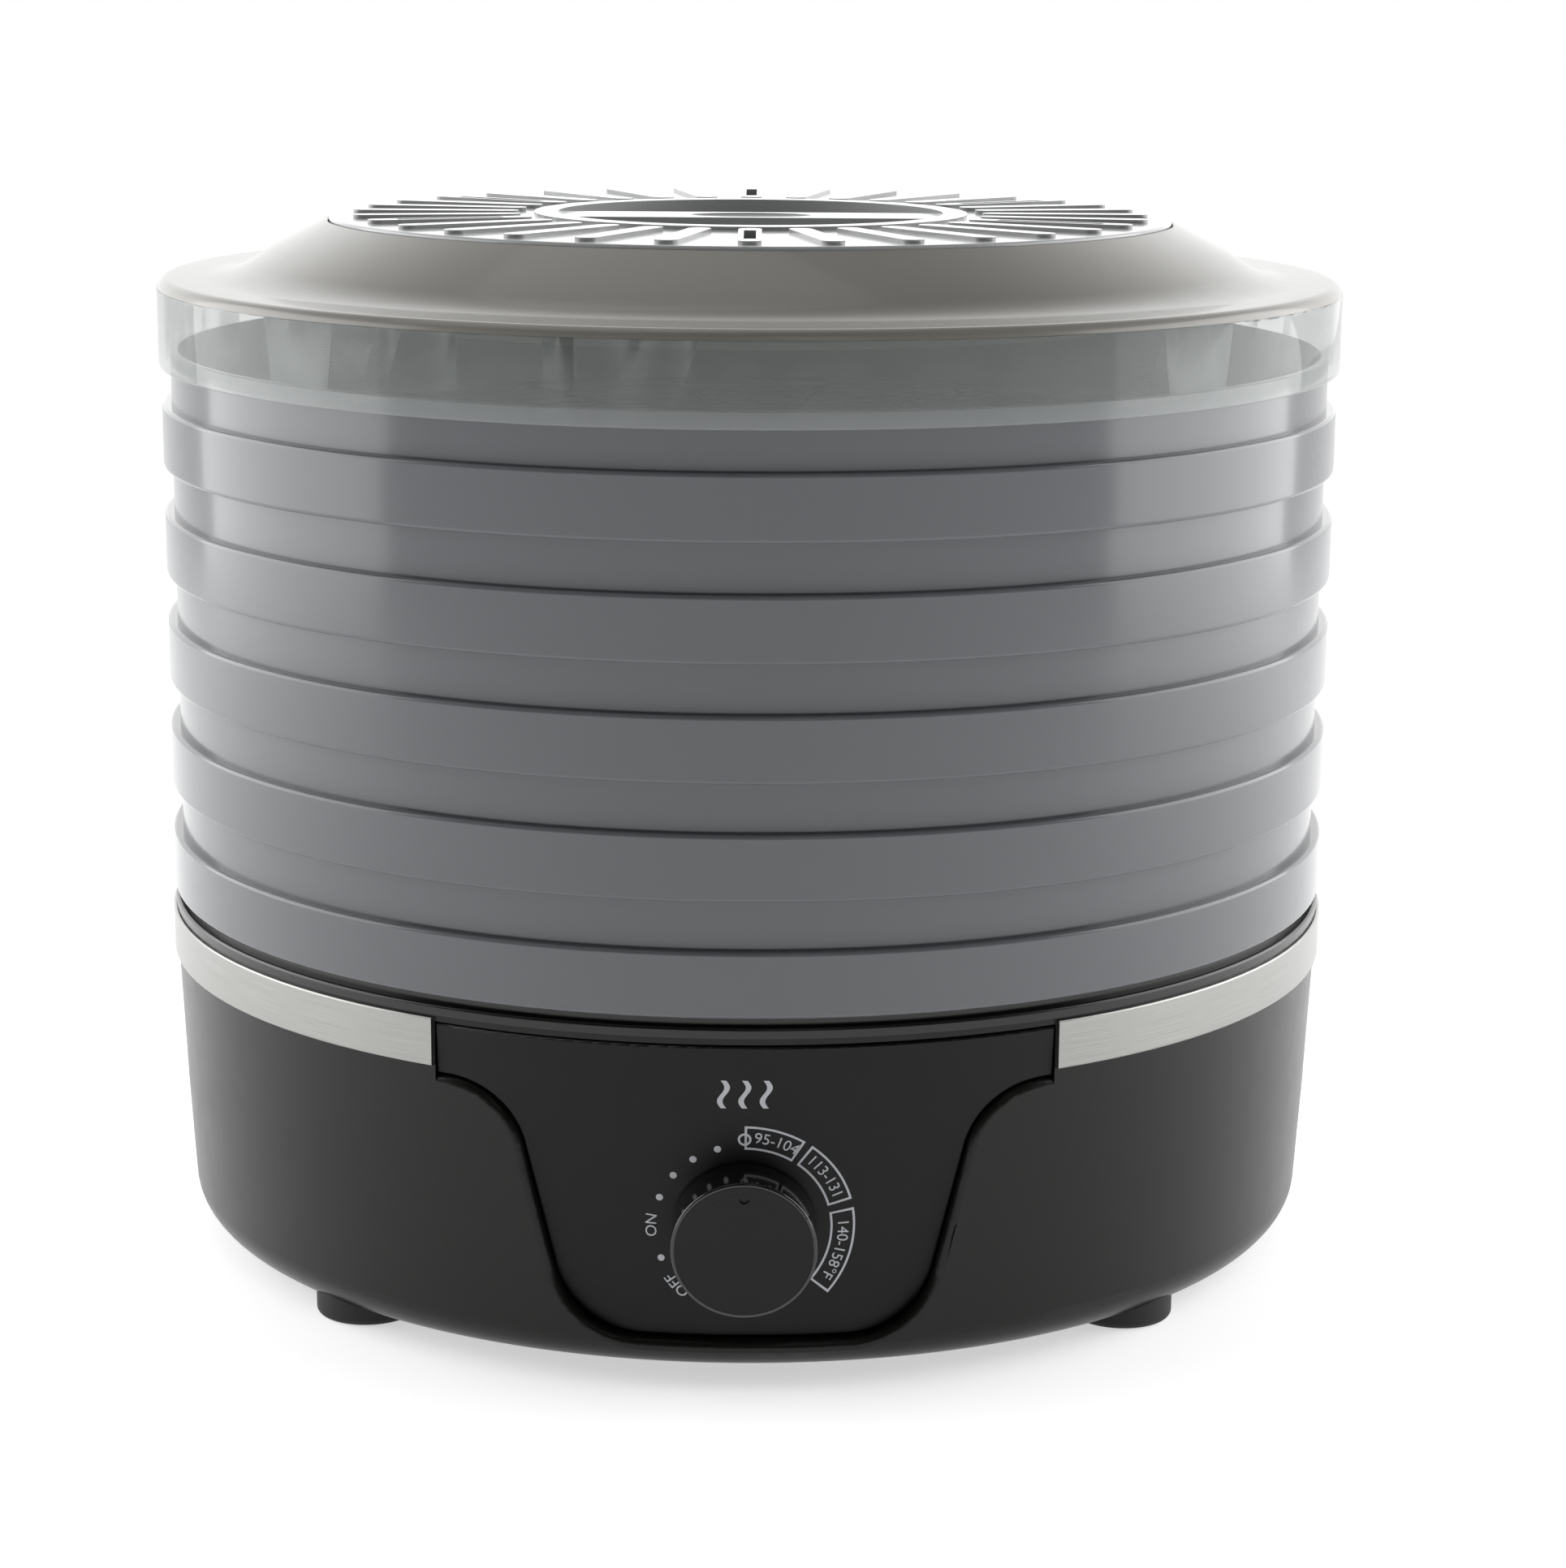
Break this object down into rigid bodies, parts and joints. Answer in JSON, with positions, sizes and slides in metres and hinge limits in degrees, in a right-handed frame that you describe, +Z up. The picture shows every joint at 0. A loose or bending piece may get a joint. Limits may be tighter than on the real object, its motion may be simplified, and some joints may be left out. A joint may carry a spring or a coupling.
{
  "type": "food dehydrator",
  "caption": "Round stacking food dehydrator: fan-heater base with a dial, nesting mesh-floored trays and a lid with a vent plate and grip.",
  "frame": {"origin": "on the ground at the centre of the round base", "axes": "+Z up through the tray stack, control knob towards -Y, +X to the right of a person facing the knob"},
  "size_m": [0.2912, 0.2992, 0.2538],
  "materials": {
    "shell_black": "matte",
    "panel_black": "fine matte",
    "knob_black": "satin gloss",
    "knob_face": "spun, black anodised",
    "band_steel": "brushed lengthwise",
    "rubber_black": "matte",
    "steel": "bright",
    "lamination": "varnished",
    "copper": "enamelled wire",
    "zinc": "zinc plated",
    "fan_grey": "satin",
    "duct_metal": "rolled",
    "mica": "sheet mica",
    "nichrome": "oxidised",
    "fuse": "glazed",
    "terminal_white": "satin",
    "bakelite": "moulded",
    "tray_grey": "translucent, satin",
    "lid_clear": "clear skirt, frosted dome",
    "plate_grey": "polished"
  },
  "bodies": {
    "base": {"base_shell": "shell_black", "top_deck": "shell_black", "outlet_grille": "shell_black", "trim_band": "band_steel", "control_panel": "panel_black", "foot_rear_right": "rubber_black", "foot_rear_left": "rubber_black", "foot_front_left": "rubber_black", "foot_front_right": "rubber_black", "foot_screws": "zinc", "deck_screws": "zinc", "thermostat_body": "bakelite", "thermostat_bush": "zinc", "thermostat_nut": "zinc", "motor_stator": "lamination", "motor_winding": "copper", "motor_lower_strap": "zinc", "motor_upper_strap": "zinc", "motor_screws": "zinc", "strap_screws": "zinc", "fan_duct": "duct_metal", "duct_screws": "zinc", "heater_board_x": "mica", "heater_board_y": "mica", "heater_elements": "nichrome", "thermal_fuse": "fuse", "cord_gland": "rubber_black", "terminal_block": "terminal_white", "terminal_screws": "zinc"},
    "knob": {"knob": "knob_black", "knob_cap": "knob_face", "thermostat_shaft": "steel"},
    "fan": {"fan_impeller": "fan_grey", "motor_axle": "steel", "motor_rotor": "lamination"},
    "tray_1": {"tray_1": "tray_grey"},
    "tray_2": {"tray_2": "tray_grey"},
    "tray_3": {"tray_3": "tray_grey"},
    "tray_4": {"tray_4": "tray_grey"},
    "tray_5": {"tray_5": "tray_grey"},
    "lid": {"lid_cover": "lid_clear", "vent_plate": "plate_grey"}
  },
  "joints": [
    {"name": "knob_turn", "type": "hinge", "parent": "base", "child": "knob", "pos_m": [0, -0.14043, 0.0383], "axis": [0, 0.9945, 0.1045], "range_deg": [-131, 127]},
    {"name": "fan_spin", "type": "hinge", "parent": "base", "child": "fan", "pos_m": [0, 0, 0.05], "axis": [0, 0, 1], "continuous": true},
    {"name": "tray_5_lift", "type": "slide", "parent": "base", "child": "tray_5", "axis": [0, 0, 1], "range_m": [0, 0.045]},
    {"name": "tray_4_lift", "type": "slide", "parent": "tray_5", "child": "tray_4", "axis": [0, 0, 1], "range_m": [0, 0.045]},
    {"name": "tray_3_lift", "type": "slide", "parent": "tray_4", "child": "tray_3", "axis": [0, 0, 1], "range_m": [0, 0.045]},
    {"name": "tray_2_lift", "type": "slide", "parent": "tray_3", "child": "tray_2", "axis": [0, 0, 1], "range_m": [0, 0.045]},
    {"name": "tray_1_lift", "type": "slide", "parent": "tray_2", "child": "tray_1", "axis": [0, 0, 1], "range_m": [0, 0.045]},
    {"name": "lid_lift", "type": "slide", "parent": "tray_1", "child": "lid", "axis": [0, 0, 1], "range_m": [0, 0.045]}
  ]
}
